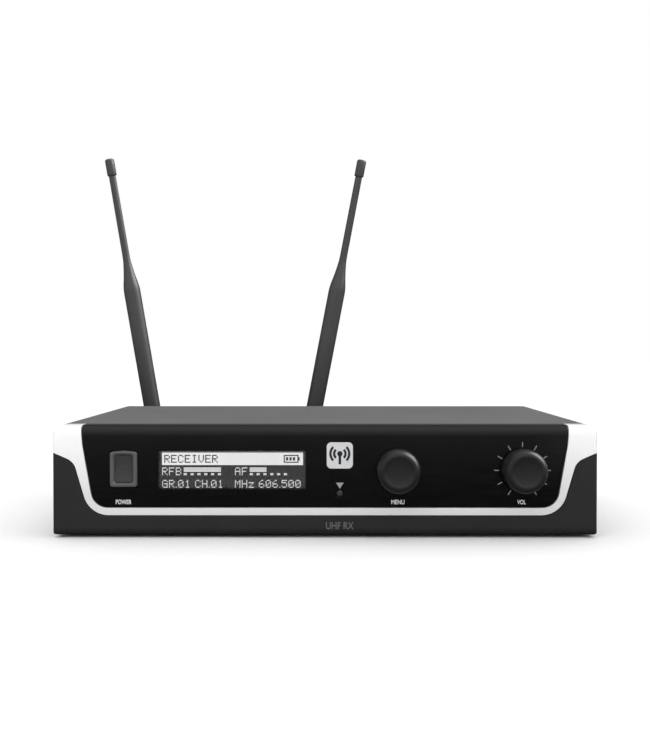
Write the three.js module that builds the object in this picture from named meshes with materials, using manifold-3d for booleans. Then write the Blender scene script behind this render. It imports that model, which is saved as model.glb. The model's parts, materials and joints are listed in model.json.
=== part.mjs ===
// A half-rack wireless microphone receiver: a folded steel case with a moulded front bezel, a silver
// trim band round a black fascia, a display, a power button, a push-and-turn menu knob, a volume knob,
// audio and power sockets behind, and two screw-on whip antennas that swivel and tilt.
// Millimetres, +Z up. The front faces -Y. Everything is laid out about the middle of the case's
// footprint, and the last lines move the whole unit so that its bounding box stands on the origin.
import * as THREE from "three";
import { mergeVertices } from "three/addons/utils/BufferGeometryUtils.js";
import Module from "manifold-3d";

const kit = await Module();
kit.setup();

// ---- driving dimensions ----
const gap = 0.3; // clearance between touching pieces
const sheet = 1; // steel thickness
const halfWidth = 106;
const front = -80;
const back = 80;
const footHeight = 1;
const bottom = footHeight;
const top = 44;
const bezelBack = front + 10;
const caseFront = bezelBack + gap;
const wallX = halfWidth - sheet; // inner face of the cover's sides
const trayX = wallX - 0.4; // outer face of the tray's flanges

// The bezel's layers, from the front: trim and fascia, then the web that carries them.
const fasciaFront = front + 0.4;
const insertBack = front + 2.7;
const webFront = insertBack + gap;
const webBack = webFront + 2;
const bezelWall = 2.2;
const hollowX = halfWidth - bezelWall;
const hollowTop = top - 2;
const frontWallY = bezelBack + 0.4; // the tray's folded-up front wall
const boardY = -60.2; // front circuit board's front face
const boardThickness = 1.6;

const menuX = 28.3;
const volumeX = 76.8;
const knobZ = 26.7;
const knobBack = fasciaFront - 1;
const knobFront = knobBack - 11;
const knobRadius = 8.4;
const shaftRadius = 3;

const display = { x0: -64.6, x1: -7.6, z0: 19.2, z1: 33.8 };
const button = { x: -78.3, z: 27.1, width: 6.6, height: 10.3, front: -80.6 };
const collar = { width: 10.6, height: 14.2, arch: 0.5, front: -81 };
const badge = { x: 5.8, z: 32.2, side: 10.25 };
const infrared = { x: 5.8, z: 17.4, radius: 1.35 };

const socketZ = 23; // all the rear sockets share one height
const rearX = { antennaLeft: -90.9, xlr: -64, jack: -34, antennaRight: -9.75, squelch: 18, level: 42, dc: 72 };
const leverRest = -1.2; // the level switch's lever, from the middle of its slot

const antennaPivotY = 108;
const leanLeft = -9.65; // degrees from upright, positive towards +X
const leanRight = 10.85;
const whip = { radius: 4.45, sleeveTop: 83.5, neck: 100.5, thin: 2, end: 145.9, tip: 155.3 };

const mainBoard = { x: 98, y0: -55, y1: 76, z: 7 };
const standoffs = [[-92, -46], [92, -46], [-92, 68], [92, 68]];
const feet = [[-88, -60], [88, -60], [-88, 54], [88, 54]];
const coverScrewY = [-50, 60];
const coverScrewZ = 8;

// ---- materials ----
function finish(color, roughness, metalness = 0) {
  return new THREE.MeshStandardMaterial({ color, roughness, metalness });
}
const paint = finish(0x35363a, 0.55, 0.3);
const plastic = finish(0x303134, 0.5);
const silver = finish(0xdcdde0, 0.35, 0.4);
const gloss = finish(0x0a0a0b, 0.12);
const glass = finish(0x1c1d20, 0.05);
const knobSkin = finish(0x2b2b2d, 0.6);
const rubber = finish(0x2e2e30, 0.7);
const nickel = finish(0xb9b6ae, 0.28, 1);
const brass = finish(0xc8a45a, 0.3, 1);
const circuit = finish(0x1d5b34, 0.5);
const blackPlastic = finish(0x141415, 0.45);
const tinned = finish(0xb4b7ba, 0.35, 1);
const jacket = finish(0x202022, 0.6);

// ---- solids: three.js geometry in, manifold solids for cutting and joining ----
function solidOf(geometry) {
  const bare = geometry.index ? geometry.toNonIndexed() : geometry.clone();
  bare.deleteAttribute("normal");
  bare.deleteAttribute("uv");
  const merged = mergeVertices(bare, 1e-3);
  const index = merged.index.array;
  const faces = [];
  for (let i = 0; i < index.length; i += 3) {
    const [a, b, c] = [index[i], index[i + 1], index[i + 2]];
    if (a !== b && b !== c && c !== a) faces.push(a, b, c);
  }
  const make = (triangles) => new kit.Manifold(new kit.Mesh({
    numProp: 3, vertProperties: merged.attributes.position.array, triVerts: new Uint32Array(triangles),
  }));
  const made = make(faces);
  return made.volume() < 0 ? make(faces.reverse()) : made;
}

function joined(...solids) {
  return solids.reduce((whole, solid) => whole.add(solid));
}

function cut(solid, ...tools) {
  return tools.reduce((left, tool) => left.subtract(tool), solid);
}

function box(x0, x1, y0, y1, z0, z1) {
  const geometry = new THREE.BoxGeometry(x1 - x0, y1 - y0, z1 - z0);
  return solidOf(geometry.translate((x0 + x1) / 2, (y0 + y1) / 2, (z0 + z1) / 2));
}

// An outline's points from counter-clockwise corners [u, v, radius]. grow moves every side outwards.
function outline(corners, grow = 0, arcSteps = 5) {
  const count = corners.length;
  const at = (i) => new THREE.Vector2(...corners[(i + count) % count].slice(0, 2));
  const points = [];
  for (let i = 0; i < count; i++) {
    const before = at(i).sub(at(i - 1)).normalize();
    const after = at(i + 1).sub(at(i)).normalize();
    const outBefore = new THREE.Vector2(before.y, -before.x);
    const outAfter = new THREE.Vector2(after.y, -after.x);
    const miter = outBefore.clone().add(outAfter).multiplyScalar(grow / (1 + outBefore.dot(outAfter)));
    const corner = at(i).add(miter);
    const turn = Math.asin(THREE.MathUtils.clamp(before.cross(after), -1, 1));
    const radius = (corners[i][2] ?? 0) ? corners[i][2] + Math.sign(turn) * grow : 0;
    if (radius <= 0) {
      points.push(corner);
      continue;
    }
    const start = corner.clone().addScaledVector(before, -radius * Math.tan(Math.abs(turn) / 2));
    const centre = start.clone().addScaledVector(outBefore, -Math.sign(turn) * radius);
    for (let k = 0; k <= arcSteps; k++) {
      points.push(start.clone().rotateAround(centre, (turn * k) / arcSteps));
    }
  }
  return points;
}

function rectangle(u, v, width, height, radius = 0) {
  const [w, h] = [width / 2, height / 2];
  return [[u - w, v - h, radius], [u + w, v - h, radius], [u + w, v + h, radius], [u - w, v + h, radius]];
}

// A prism along an axis. The outline lies in XZ for "y", in YZ for "x" and in XY for "z".
function prism(axis, points, from, to) {
  const geometry = new THREE.ExtrudeGeometry(new THREE.Shape(points), {
    depth: to - from, bevelEnabled: false, steps: 1,
  });
  if (axis === "y") geometry.rotateX(Math.PI / 2).translate(0, to, 0);
  if (axis === "z") geometry.translate(0, 0, from);
  if (axis === "x") {
    geometry.rotateX(Math.PI / 2).rotateZ(Math.PI / 2).translate(from, 0, 0);
  }
  return solidOf(geometry);
}

// A round rod along an axis. u and v are its place across that axis, as in prism.
function rod(axis, u, v, radius, from, to, sides = 16) {
  const geometry = new THREE.CylinderGeometry(radius, radius, to - from, sides);
  geometry.translate(0, (from + to) / 2, 0);
  if (axis === "x") geometry.rotateZ(-Math.PI / 2).translate(0, u, v);
  if (axis === "y") geometry.translate(u, 0, v);
  if (axis === "z") geometry.rotateX(Math.PI / 2).translate(u, v, 0);
  return solidOf(geometry);
}

// A turned solid from [radius, height] points that start and end on the axis, or close on themselves.
function turned(axis, u, v, profile, sides = 24) {
  const geometry = new THREE.LatheGeometry(profile.map(([r, h]) => new THREE.Vector2(r, h)), sides);
  if (axis === "y") geometry.translate(u, 0, v);
  if (axis === "z") geometry.rotateX(Math.PI / 2).translate(u, v, 0);
  return solidOf(geometry);
}

// A ring along Y: outer radius, inner radius, and where it starts and ends.
function ring(x, z, outer, inner, from, to, sides = 24) {
  return cut(rod("y", x, z, outer, from, to, sides), rod("y", x, z, inner, from - 1, to + 1, sides));
}

function place(group, name, solid, material) {
  const mesh = solid.getMesh();
  const geometry = new THREE.BufferGeometry()
    .setAttribute("position", new THREE.BufferAttribute(mesh.vertProperties, 3))
    .setIndex(new THREE.BufferAttribute(mesh.triVerts, 1));
  geometry.computeVertexNormals();
  const piece = new THREE.Mesh(geometry, material);
  piece.name = name;
  group.add(piece);
  return piece;
}

// ---- case ----
// A cross-wall's outline, from z0 up to just under the cover's bends.
function uprightPlate(z0) {
  return outline([[-trayX, z0], [trayX, z0], [trayX, top - sheet - gap, 3], [-trayX, top - sheet - gap, 3]]);
}

function chassisTray() {
  const floor = box(-trayX, trayX, frontWallY, back, bottom, bottom + sheet);
  const flangeTop = bottom + 10.5;
  const flanges = [-1, 1].map((side) => {
    const [x0, x1] = [side * trayX, side * (trayX - sheet)].sort((a, b) => a - b);
    return box(x0, x1, frontWallY, back - 1.6, bottom, flangeTop);
  });
  const frontWall = prism("y", uprightPlate(bottom), frontWallY, frontWallY + sheet);
  const posts = standoffs.map(([x, y]) => rod("z", x, y, 3, bottom, mainBoard.z - gap, 12));
  const wallHoles = [
    rod("y", menuX, knobZ, 4.8, frontWallY - 1, frontWallY + 2),
    rod("y", volumeX, knobZ, 4.8, frontWallY - 1, frontWallY + 2),
    rod("y", button.x, button.z, 2.8, frontWallY - 1, frontWallY + 2, 16),
    rod("y", infrared.x, infrared.z, 2, frontWallY - 1, frontWallY + 2, 12),
    box(-55, -17, frontWallY - 1, frontWallY + 2, 20, 32),
  ];
  const floorHoles = feet.map(([x, y]) => rod("z", x, y, 1.8, bottom - 1, bottom + 2, 12));
  const flangeHoles = coverScrewY.map((y) => rod("x", y, coverScrewZ, 1.9, -110, 110, 12));
  return cut(joined(floor, ...flanges, frontWall, ...posts), ...wallHoles, ...floorHoles, ...flangeHoles);
}

function topCover() {
  const section = outline([
    [-halfWidth, bottom], [-wallX, bottom], [-wallX, top - sheet, 3], [wallX, top - sheet, 3],
    [wallX, bottom], [halfWidth, bottom], [halfWidth, top, 4], [-halfWidth, top, 4],
  ]);
  const shell = prism("y", section, caseFront, back);
  const vents = [0, 1, 2, 3, 4, 5, 6].map((k) => {
    const slot = outline(rectangle(20 + 6 * k, 24, 1.8, 15, 0.9), 0, 2);
    return prism("x", slot, -110, 110);
  });
  const screwHoles = coverScrewY.map((y) => rod("x", y, coverScrewZ, 3, -110, 110, 16));
  return cut(shell, ...vents, ...screwHoles);
}

function rearPanel() {
  const y0 = back - 1.2;
  const plate = prism("y", uprightPlate(bottom + sheet + gap), y0, back);
  const tabX = trayX - sheet - gap;
  const tabs = [-1, 1].map((side) => {
    const [x0, x1] = [side * tabX, side * (tabX - sheet)].sort((a, b) => a - b);
    return box(x0, x1, y0 - 9, y0 + 0.1, 14, 40);
  });
  const hole = (x, radius, sides = 20) => rod("y", x, socketZ, radius, y0 - 1, back + 1, sides);
  const slot = outline(rectangle(rearX.level, socketZ, 6.8, 3.8, 0.5), 0, 2);
  return cut(
    joined(plate, ...tabs),
    hole(rearX.antennaLeft, 6.3), hole(rearX.antennaRight, 6.3), hole(rearX.xlr, 12.3),
    hole(rearX.jack, 5.2), hole(rearX.squelch, 3.5, 16), hole(rearX.dc, 5.6),
    prism("y", slot, y0 - 1, back + 1),
  );
}

function coverScrew(side, y) {
  const head = rod("x", y, coverScrewZ, 2.7, wallX + 0.1, halfWidth, 16);
  const shank = rod("x", y, coverScrewZ, 1.5, wallX - 5, wallX + 0.5, 10);
  const drive = joined(
    box(halfWidth - 0.6, halfWidth + 1, y - 1.5, y + 1.5, coverScrewZ - 0.3, coverScrewZ + 0.3),
    box(halfWidth - 0.6, halfWidth + 1, y - 0.3, y + 0.3, coverScrewZ - 1.5, coverScrewZ + 1.5),
  );
  const screw = cut(joined(head, shank), drive);
  return side > 0 ? screw : screw.mirror([1, 0, 0]);
}

function foot(x, y) {
  const profile = [[0, 0], [5.4, 0], [6, 0.5], [6, bottom - gap], [1.4, bottom - gap], [1.4, 4], [0, 4]];
  return turned("z", x, y, profile, 16);
}

// ---- front ----
const windowCorners = [
  [-89.9, 12.1, 6.3], [89.9, 12.1, 6.3], [94.2, 36.5, 25], [94.65, top + 0.05, 1],
  [-94.65, top + 0.05, 1], [-94.2, 36.5, 25],
];
// The trim's outer edge: along the bottom, up beside the window, then out to the case's sides.
const trimCorners = [
  [-91.7, 8.88, 10], [91.7, 8.88, 10], [97.8, 29.75, 6], [112, 36], [112, 60], [-112, 60],
  [-112, 36], [-97.8, 29.75, 6],
];

// The bezel's whole outer form, rounded at its top, bottom and side edges.
function frontBlock(setBack = 0) {
  const y0 = front + setBack;
  const face = prism("y", outline([
    [-halfWidth, bottom, 1.2], [halfWidth, bottom, 1.2], [halfWidth, top, 4], [-halfWidth, top, 4],
  ]), y0 - 1, bezelBack);
  const side = prism("x", outline([
    [y0, bottom, 2], [bezelBack, bottom], [bezelBack, top], [y0, top, 4],
  ]), -halfWidth - 1, halfWidth + 1);
  const plan = prism("z", outline([
    [-halfWidth, y0, 1.5], [halfWidth, y0, 1.5], [halfWidth, bezelBack], [-halfWidth, bezelBack],
  ], 0, 3), 0, top + 1);
  return face.intersect(side).intersect(plan);
}

function frontBezel() {
  const around = [front - 1, bezelBack + 1];
  const hollow = box(-hollowX, hollowX, webBack, bezelBack + 1, bottom + bezelWall, hollowTop);
  const core = box(-hollowX + gap, hollowX - gap, webFront, bezelBack + 1, 0, hollowTop - gap);
  const trimRoom = cut(prism("y", outline(trimCorners, gap), ...around), prism("y", outline(windowCorners), ...around));
  const fasciaRoom = prism("y", outline(windowCorners, gap), front - 1, webFront);
  const y = [webFront - 1, webBack + 1];
  const web = {
    display: box(display.x0 - 2.8, display.x1 + 2.8, ...y, display.z0 - 3.6, display.z1 + 3.6),
    button: prism("y", outline(rectangle(button.x, button.z, button.width + 1.4, button.height + 1.4, 0.8)), ...y),
    menu: rod("y", menuX, knobZ, 4, ...y),
    volume: rod("y", volumeX, knobZ, 4, ...y),
    infrared: rod("y", infrared.x, infrared.z, 1.9, ...y, 12),
  };
  return cut(frontBlock(), hollow, cut(trimRoom, core), fasciaRoom, ...Object.values(web));
}

function silverTrim() {
  const around = [front - 1, bezelBack + 1];
  const core = box(-hollowX, hollowX, insertBack, bezelBack + 1, 0, hollowTop);
  const band = frontBlock().intersect(prism("y", outline(trimCorners), ...around));
  return cut(band, prism("y", outline(windowCorners, gap), ...around), core);
}

function fasciaPanel() {
  const y = [front - 1, bezelBack];
  const blank = frontBlock(fasciaFront - front).intersect(prism("y", outline(windowCorners), front - 1, insertBack));
  return cut(
    blank,
    box(display.x0 - gap, display.x1 + gap, ...y, display.z0 - gap, display.z1 + gap),
    prism("y", outline(collarCorners(), gap), ...y),
    rod("y", menuX, knobZ, 3.8, ...y), rod("y", volumeX, knobZ, 3.8, ...y),
    rod("y", infrared.x, infrared.z, infrared.radius + gap, ...y, 12),
    prism("y", outline(rectangle(badge.x, badge.z, badge.side, badge.side, 1.8), gap), front - 1, fasciaFront + 0.65),
  );
}

function displayWindow() {
  return box(display.x0, display.x1, fasciaFront, insertBack, display.z0, display.z1);
}

function badgePlate() {
  return prism("y", outline(rectangle(badge.x, badge.z, badge.side, badge.side, 1.8)), fasciaFront - 0.35, fasciaFront + 0.35);
}

// The power button's frame has a slightly arched top edge.
function collarCorners() {
  const [w, h] = [collar.width / 2, collar.height / 2];
  const { x, z } = button;
  return [
    [x - w, z - h, 1], [x + w, z - h, 1], [x + w, z + h - collar.arch, 1], [x, z + h, 20],
    [x - w, z + h - collar.arch, 1],
  ];
}

function powerCollar() {
  const outer = prism("y", outline(collarCorners()), collar.front, insertBack);
  const opening = outline(rectangle(button.x, button.z, button.width + 0.6, button.height + 0.6, 0.8));
  return cut(outer, prism("y", opening, collar.front - 1, insertBack + 1));
}

function powerButton() {
  const capBack = webBack + 0.5;
  const cap = prism("y", outline(rectangle(button.x, button.z, button.width, button.height, 0.6)), button.front, capBack);
  return joined(cap, rod("y", button.x, button.z, 1.8, capBack - 0.5, -65, 16));
}

function powerSwitchBody() {
  const body = box(button.x - 4, button.x + 4, -68.3, boardY - gap, button.z - 4, button.z + 4);
  return cut(body, rod("y", button.x, button.z, 2.1, -70, -62.5, 16));
}

// A knob with a dished front and a hollow back round its hub, bored for a shaft.
function knob(x) {
  const r = knobRadius;
  const profile = [
    [0, knobFront + 0.9], [3.2, knobFront + 0.75], [5.3, knobFront + 0.3], [5.9, knobFront],
    [r - 1.2, knobFront + 0.5], [r - 0.5, knobFront + 1.4], [r, knobFront + 3.4], [r, knobBack - 0.5],
    [r - 0.4, knobBack],
    [r - 1.5, knobBack], [r - 1.8, knobBack - 6], [4.6, knobBack - 6], [4.6, knobBack], [0, knobBack],
  ];
  const bore = rod("y", x, knobZ, shaftRadius + gap, knobBack - 8, knobBack + 1);
  return cut(turned("y", x, knobZ, profile), bore);
}

function knobShaft(x, end) {
  return rod("y", x, knobZ, shaftRadius, knobBack - 7.6, end);
}

// A board-mounted control: a square body, a threaded bush through the front wall, and its bore.
function controlBody(x, half, bodyBack, boreEnd) {
  const body = box(x - half, x + half, -68.3, bodyBack, knobZ - half, knobZ + half);
  const bush = rod("y", x, knobZ, 4.4, -73.5, -68);
  return cut(joined(body, bush), rod("y", x, knobZ, shaftRadius + gap, -75, boreEnd));
}

function encoderBody() {
  const rotorRoom = rod("y", menuX, knobZ, 5.3, -66.8, -64);
  return cut(controlBody(menuX, 6.2, boardY - gap, -61.4), rotorRoom);
}

function lcdModule() {
  return box(display.x0 - 2.4, display.x1 + 2.4, insertBack + gap, bezelBack, display.z0 - 3.2, display.z1 + 3.2);
}

// ---- boards and what they carry ----
function mainBoardPlate() {
  return box(-mainBoard.x, mainBoard.x, mainBoard.y0, mainBoard.y1, mainBoard.z, mainBoard.z + boardThickness);
}
const onBoard = mainBoard.z + boardThickness + gap;

function shieldCan(x0, x1, y0, y1) {
  const height = 9;
  const wall = 0.6;
  const inside = box(x0 + wall, x1 - wall, y0 + wall, y1 - wall, onBoard - 1, onBoard + height - wall);
  return cut(box(x0, x1, y0, y1, onBoard, onBoard + height), inside);
}

function heatSink(x0, y0) {
  const base = box(x0, x0 + 18, y0, y0 + 3, onBoard, onBoard + 18);
  const fins = [0, 1, 2, 3].map((k) => box(x0 + 5.4 * k, x0 + 5.4 * k + 1.8, y0 + 2, y0 + 11, onBoard, onBoard + 18));
  return joined(base, ...fins);
}

// A flat ribbon that leaves the front board level and turns down onto the main board.
function ribbonCable() {
  const start = boardY + boardThickness + gap;
  const reach = 10;
  const thickness = 0.5;
  const steps = 6;
  const arc = (radius) => Array.from({ length: steps + 1 }, (_, k) => {
    const angle = (Math.PI / 2) * (k / steps);
    return new THREE.Vector2(start + radius * Math.sin(angle), onBoard + radius * Math.cos(angle));
  });
  return prism("x", [...arc(reach), ...arc(reach - thickness).reverse()], -12, 8);
}

function antennaLead(x, endX) {
  const route = new THREE.CatmullRomCurve3([
    new THREE.Vector3(x, 65.4, socketZ), new THREE.Vector3(x, 60, 22), new THREE.Vector3((x + endX) / 2, 53, 17),
    new THREE.Vector3(endX, 48, 14), new THREE.Vector3(endX, 44.4, 14),
  ]);
  const section = Array.from({ length: 8 }, (_, k) => {
    const angle = (2 * Math.PI * k) / 8;
    return new THREE.Vector2(1.1 * Math.cos(angle), 1.1 * Math.sin(angle));
  });
  const tube = new THREE.ExtrudeGeometry(new THREE.Shape(section), { steps: 12, bevelEnabled: false, extrudePath: route });
  return solidOf(tube);
}

// ---- rear sockets ----
function xlrShell() {
  const flange = prism("y", outline(rectangle(rearX.xlr, socketZ, 26, 31, 3)), back + gap, back + 2.2);
  const barrel = rod("y", rearX.xlr, socketZ, 11.8, 58, back + 0.4, 24);
  return cut(joined(flange, barrel), rod("y", rearX.xlr, socketZ, 8.2, 57, back + 3, 24));
}

function xlrContacts() {
  const disc = rod("y", rearX.xlr, socketZ, 7.8, 58.2, 67);
  const pins = [[-3.9, 1.6], [3.9, 1.6], [0, -4.6]].map(([dx, dz]) => {
    const [x, z] = [rearX.xlr + dx, socketZ + dz];
    return turned("y", x, z, [[0, 66], [1.2, 66], [1.2, 78.2], [0.6, 79], [0, 79]], 10);
  });
  return joined(disc, ...pins);
}

function jackSocket() {
  const x = rearX.jack;
  const body = box(x - 7, x + 7, 50, back - 1.5, socketZ - 7, socketZ + 7);
  const bush = rod("y", x, socketZ, 4.85, back - 2, back + 3.4);
  return cut(joined(body, bush), rod("y", x, socketZ, 3.3, 52, back + 4));
}

function jackNut() {
  const hexagon = Array.from({ length: 6 }, (_, k) => {
    const angle = (Math.PI / 3) * k;
    return new THREE.Vector2(rearX.jack + 7.6 * Math.cos(angle), socketZ + 7.6 * Math.sin(angle));
  });
  const blank = prism("y", hexagon, back + gap, back + 2.4);
  return cut(blank, rod("y", rearX.jack, socketZ, 5.2, back - 1, back + 4));
}

function dcInlet() {
  const x = rearX.dc;
  const body = box(x - 4.5, x + 4.5, 66, back - 1.5, socketZ - 5.5, socketZ + 5.5);
  const barrel = rod("y", x, socketZ, 5.15, back - 2, back + 0.6);
  const pin = rod("y", x, socketZ, 1, 69, back - 0.6, 12);
  return joined(cut(joined(body, barrel), rod("y", x, socketZ, 2.9, 69.5, back + 1)), pin);
}

function squelchKnob() {
  const y0 = back + 1;
  const flutes = 16;
  const grip = Array.from({ length: flutes * 2 }, (_, k) => {
    const angle = (Math.PI * k) / flutes;
    const radius = k % 2 ? 4.7 : 5.2;
    return new THREE.Vector2(rearX.squelch + radius * Math.cos(angle), socketZ + radius * Math.sin(angle));
  });
  const pointer = box(rearX.squelch - 0.4, rearX.squelch + 0.4, y0 + 7, y0 + 9, socketZ + 0.8, socketZ + 6);
  return cut(joined(prism("y", grip, y0, y0 + 7.5), rod("y", rearX.squelch, socketZ, 1.5, 73, y0 + 0.5, 12)), pointer);
}

function squelchPotBody() {
  const x = rearX.squelch;
  const body = box(x - 5, x + 5, 70, 76, socketZ - 5, socketZ + 5);
  return cut(joined(body, rod("y", x, socketZ, 3.2, 75, back + 0.5, 16)), rod("y", x, socketZ, 1.8, 72, back + 1, 12));
}

function levelSwitchBody() {
  const x = rearX.level;
  const body = box(x - 6.5, x + 6.5, 71, back - 1.5, socketZ - 3.5, socketZ + 3.5);
  return cut(body, box(x - 2.9, x + 2.9, 74.5, back, socketZ - 1.4, socketZ + 1.4));
}

function levelSwitchLever() {
  const x = rearX.level + leverRest;
  return box(x - 1.3, x + 1.3, 75, back + 1.8, socketZ - 1.1, socketZ + 1.1);
}

// ---- antennas ----
function antennaSocket(x) {
  const profile = [
    [0, 66], [1.5, 66], [1.5, 70], [5.9, 70], [5.9, back + gap], [7, back + gap], [7, back + 1.7],
    [5.5, back + 1.7], [5.5, back + 10.2], [3.9, back + 10.2], [3.9, back + 3], [0, back + 3],
  ];
  return turned("y", x, socketZ, profile, 20);
}

// The pieces below are in the antenna's own frame: the hinge pin's middle is the origin,
// Y runs along the connector and Z up the whip.
function couplingNut() {
  const teeth = 16;
  const knurl = Array.from({ length: teeth * 2 }, (_, k) => {
    const angle = (Math.PI * k) / teeth;
    const radius = k % 2 ? 7 : 7.4;
    return new THREE.Vector2(radius * Math.cos(angle), radius * Math.sin(angle));
  });
  return cut(prism("y", knurl, -25.8, -13), rod("y", 0, 0, 5.9, -26, -16.6), rod("y", 0, 0, 4.8, -17, -12));
}

const ear = { inner: 2.7, outer: 5.2, radius: 5 };

// A plug, a neck through the nut, and a fork whose two ears hold the hinge pin.
function elbow() {
  const plug = turned("y", 0, 0, [
    [0, -24], [3.5, -24], [3.5, -17.4], [5.4, -17.4], [5.4, -16.9], [4.4, -16.9], [4.4, -12.6],
    [5.6, -12.6], [6.3, -12], [6.3, -7.2], [5.6, -6.5], [0, -6.5],
  ], 20);
  const lobe = outline([
    [-10, -ear.radius], [ear.radius, -ear.radius, ear.radius - 0.01], [ear.radius, ear.radius, ear.radius - 0.01],
    [-10, ear.radius],
  ]);
  const fork = prism("x", lobe, -ear.outer, ear.outer).intersect(rod("y", 0, 0, 7.2, -10, 6));
  const slot = box(-ear.inner, ear.inner, -6.6, 7, -7, 7);
  return cut(joined(plug, fork), slot, rod("x", 0, 0, 1.55, -8, 8, 14));
}

function hingePin() {
  const head = rod("x", 0, 0, 2.1, ear.outer + gap, ear.outer + gap + 0.9, 14);
  return joined(rod("x", 0, 0, 1.25, -ear.outer - 1, ear.outer + 1, 14), head, head.mirror([1, 0, 0]));
}

function whipRod() {
  const w = whip;
  const eye = rod("x", 0, 0, w.radius, -ear.inner + gap, ear.inner - gap);
  const tongue = box(-ear.inner + gap, ear.inner - gap, -w.radius, w.radius, 0, 7);
  const sleeve = turned("z", 0, 0, [
    [0, 6.4], [3.4, 6.4], [w.radius, 7.6], [w.radius, w.sleeveTop], [3.9, w.sleeveTop + 4],
    [2.5, w.neck - 5], [w.thin + 0.05, w.neck], [w.thin - 0.1, w.end], [1.2, w.end], [1.2, w.end + 5], [0, w.end + 5],
  ], 16);
  return cut(joined(eye, tongue, sleeve), rod("x", 0, 0, 1.55, -5, 5, 14));
}

function whipTip() {
  const z0 = whip.end + gap;
  return turned("z", 0, 0, [
    [1.5, z0], [2.2, z0], [2.5, z0 + 0.5], [2.5, whip.tip - 0.6], [1.9, whip.tip], [0, whip.tip],
    [0, z0 + 6], [1.5, z0 + 6], [1.5, z0],
  ], 16);
}

function addAntenna(unit, side, x, lean) {
  const antenna = new THREE.Group();
  antenna.position.set(x, antennaPivotY, socketZ);
  antenna.rotation.y = THREE.MathUtils.degToRad(lean);
  unit.add(antenna);
  place(antenna, `antenna_coupling_nut_${side}`, couplingNut(), nickel);
  place(antenna, `antenna_elbow_${side}`, elbow(), rubber);
  place(antenna, `antenna_hinge_pin_${side}`, hingePin(), nickel);
  place(antenna, `antenna_whip_${side}`, whipRod(), rubber);
  place(antenna, `antenna_tip_${side}`, whipTip(), rubber);
}

// ---- assembly ----
const unit = new THREE.Group();

place(unit, "chassis_tray", chassisTray(), paint);
place(unit, "rear_panel", rearPanel(), paint);
place(unit, "top_cover", topCover(), paint);
for (const [side, label] of [[-1, "left"], [1, "right"]]) {
  coverScrewY.forEach((y, k) => {
    place(unit, `cover_screw_${label}_${k ? "rear" : "front"}`, coverScrew(side, y), blackPlastic);
  });
}
feet.forEach(([x, y], k) => place(unit, `rubber_foot_${k + 1}`, foot(x, y), rubber));

place(unit, "front_bezel", frontBezel(), plastic);
place(unit, "silver_trim", silverTrim(), silver);
place(unit, "fascia_panel", fasciaPanel(), gloss);
place(unit, "display_window", displayWindow(), glass);
place(unit, "badge_plate", badgePlate(), silver);
place(unit, "infrared_light_pipe", rod("y", infrared.x, infrared.z, infrared.radius, fasciaFront, -62.6, 12), glass);
place(unit, "infrared_led", box(infrared.x - 1.6, infrared.x + 1.6, -62.3, boardY - gap, 16.2, 18.6), glass);

place(unit, "power_button_collar", powerCollar(), plastic);
place(unit, "power_button", powerButton(), plastic);
place(unit, "power_switch_body", powerSwitchBody(), blackPlastic);
place(unit, "menu_knob", knob(menuX), knobSkin);
place(unit, "menu_shaft", knobShaft(menuX, -62.4), nickel);
place(unit, "encoder_rotor", ring(menuX, knobZ, 4.95, shaftRadius + gap, -66.5, -64.3), blackPlastic);
place(unit, "encoder_body", encoderBody(), tinned);
place(unit, "volume_knob", knob(volumeX), knobSkin);
place(unit, "volume_shaft", knobShaft(volumeX, -63), nickel);
place(unit, "volume_pot_body", controlBody(volumeX, 5.6, boardY - gap, -62.5), tinned);
place(unit, "lcd_module", lcdModule(), glass);

place(unit, "front_board", box(-95, 95, boardY, boardY + boardThickness, 10, 40), circuit);
place(unit, "main_board", mainBoardPlate(), circuit);
place(unit, "ribbon_cable", ribbonCable(), jacket);
place(unit, "tuner_shield_left", shieldCan(-96, -52, 8, 44), tinned);
place(unit, "tuner_shield_right", shieldCan(-40, 4, 8, 44), tinned);
place(unit, "regulator_heat_sink", heatSink(52, 20), blackPlastic);
place(unit, "filter_capacitor", rod("z", 84, 40, 5, onBoard, onBoard + 14, 16), blackPlastic);

place(unit, "xlr_shell", xlrShell(), blackPlastic);
place(unit, "xlr_contacts", xlrContacts(), brass);
place(unit, "jack_socket", jackSocket(), blackPlastic);
place(unit, "jack_nut", jackNut(), nickel);
place(unit, "dc_inlet", dcInlet(), blackPlastic);
place(unit, "squelch_knob", squelchKnob(), blackPlastic);
place(unit, "squelch_pot_body", squelchPotBody(), tinned);
place(unit, "level_switch_body", levelSwitchBody(), tinned);
place(unit, "level_switch_lever", levelSwitchLever(), blackPlastic);

for (const [side, x, lean, leadX] of [
  ["left", rearX.antennaLeft, leanLeft, -86], ["right", rearX.antennaRight, leanRight, -12],
]) {
  place(unit, `antenna_socket_${side}`, antennaSocket(x), nickel);
  place(unit, `antenna_lead_${side}`, antennaLead(x, leadX), jacket);
  addAntenna(unit, side, x, lean);
}

// Stand the whole unit, antennas included, on the middle of its bounding box.
unit.updateMatrixWorld(true);
const extent = new THREE.Box3().setFromObject(unit, true);
unit.position.set(-(extent.min.x + extent.max.x) / 2, -(extent.min.y + extent.max.y) / 2, -extent.min.z);

const receiver = new THREE.Group();
receiver.add(unit);

export default receiver;
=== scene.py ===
"""The looks of a half-rack wireless receiver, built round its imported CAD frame."""

import json
import math

import bmesh
import bpy
from mathutils import Matrix, Vector


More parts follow.
